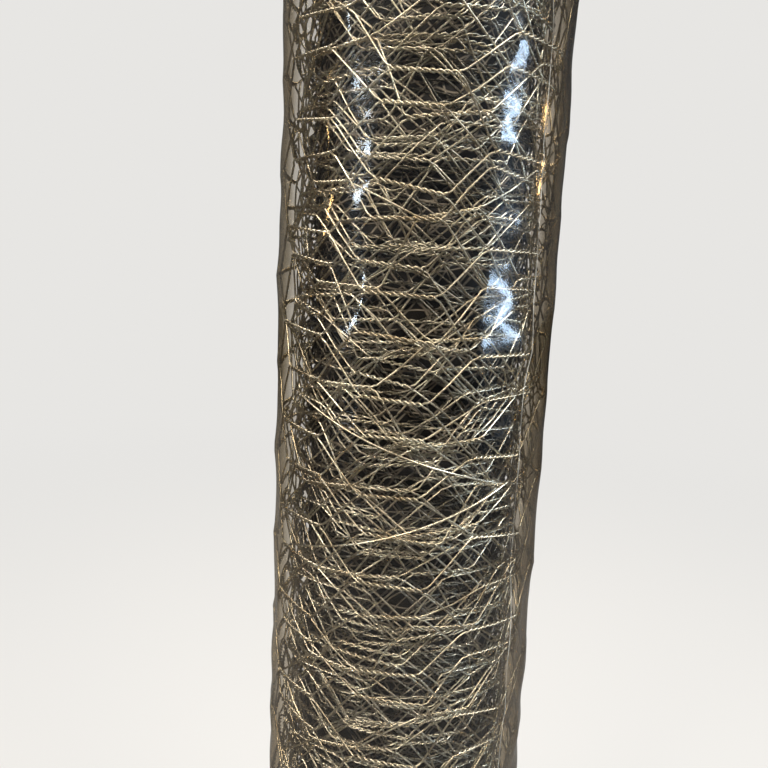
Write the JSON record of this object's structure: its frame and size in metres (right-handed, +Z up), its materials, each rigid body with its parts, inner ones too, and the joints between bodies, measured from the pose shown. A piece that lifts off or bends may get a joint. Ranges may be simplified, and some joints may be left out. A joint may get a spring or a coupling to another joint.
{
  "type": "roll of fish trap wire mesh",
  "caption": "Roll of galvanised hexagonal wire netting for fish traps, stood on its end in a clear film sleeve, with a hollow down its middle.",
  "frame": {"origin": "on the floor, at the centre of the roll's lower end", "axes": "+Z up the roll's axis, -Y the roll's front, with the free edge of the film's lap 44 degrees to the right of it"},
  "size_m": [0.1205, 0.1202, 0.914],
  "materials": {
    "galvanised_wire": "dull galvanised",
    "clear_film": "clear, glossy and wrinkled"
  },
  "bodies": {
    "root": {"mesh_roll": "galvanised_wire", "film_sleeve": "clear_film"}
  },
  "joints": []
}
